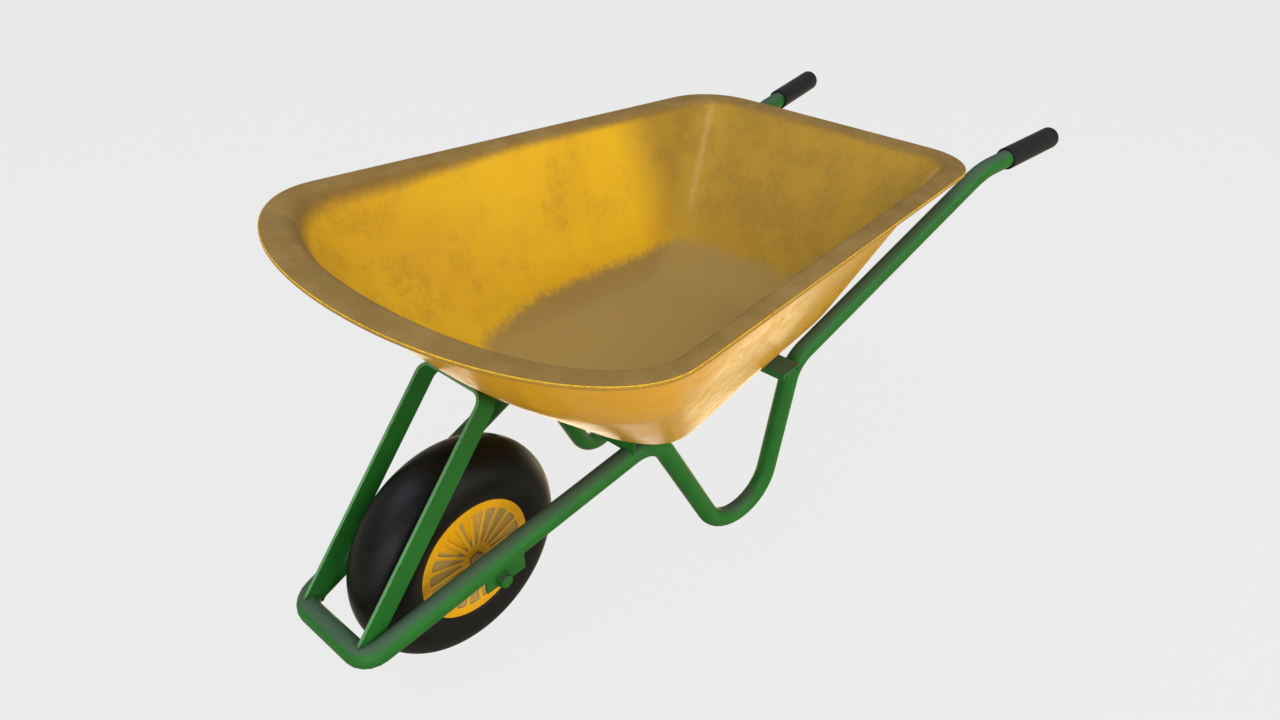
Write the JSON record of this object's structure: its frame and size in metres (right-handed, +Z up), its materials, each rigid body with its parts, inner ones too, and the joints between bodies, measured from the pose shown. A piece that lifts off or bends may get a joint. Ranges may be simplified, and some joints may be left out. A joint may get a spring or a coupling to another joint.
{
  "type": "wheelbarrow",
  "caption": "Site wheelbarrow with a deep pressed steel tray, a bent tube frame with looped feet, a flat strap in front of the wheel and a balloon-tyred wheel that spins.",
  "frame": {"origin": "middle of the overall length and width, on the ground", "axes": "+X along the length from the wheel to the handles, +Y to the right of the person who holds the grips, +Z up; the wheel and both feet stand on Z = 0"},
  "size_m": [1.4742, 0.728, 0.601],
  "materials": {
    "yellow_paint": "worn yellow paint under khaki dust, scuffed inside",
    "green_paint": "satin green paint with grey-green dust on the upper faces",
    "zinc_steel": "dull zinc with brown dust",
    "grip_rubber": "plain black, slightly dusty",
    "tyre_rubber": "smooth worn black",
    "tube_rubber": "plain black",
    "rim_yellow": "yellow with brown dust in the pockets",
    "bush_plastic": "plain black",
    "valve_brass": "dull brass"
  },
  "bodies": {
    "barrow": {"tray": "yellow_paint", "tray_studs": "zinc_steel", "tray_washers": "zinc_steel", "tray_nuts": "zinc_steel", "frame_tube": "green_paint", "front_strap": "green_paint", "front_cross_member": "green_paint", "rear_cross_member": "green_paint", "left_axle_bracket": "green_paint", "right_axle_bracket": "green_paint", "axle_bolt": "green_paint", "axle_washers": "zinc_steel", "axle_nut": "zinc_steel", "axle_sleeve": "zinc_steel", "axle_spacers": "zinc_steel", "left_grip": "grip_rubber", "right_grip": "grip_rubber"},
    "wheel": {"tyre": "tyre_rubber", "inner_tube": "tube_rubber", "rim_left": "rim_yellow", "rim_right": "rim_yellow", "hub_tube": "zinc_steel", "hub_bushes": "bush_plastic", "valve_stem": "valve_brass", "valve_cap": "bush_plastic"}
  },
  "joints": [
    {"name": "wheel_spin", "type": "hinge", "parent": "barrow", "child": "wheel", "pos_m": [-0.51809, 0, 0.168], "axis": [0, 1, 0], "continuous": true}
  ]
}
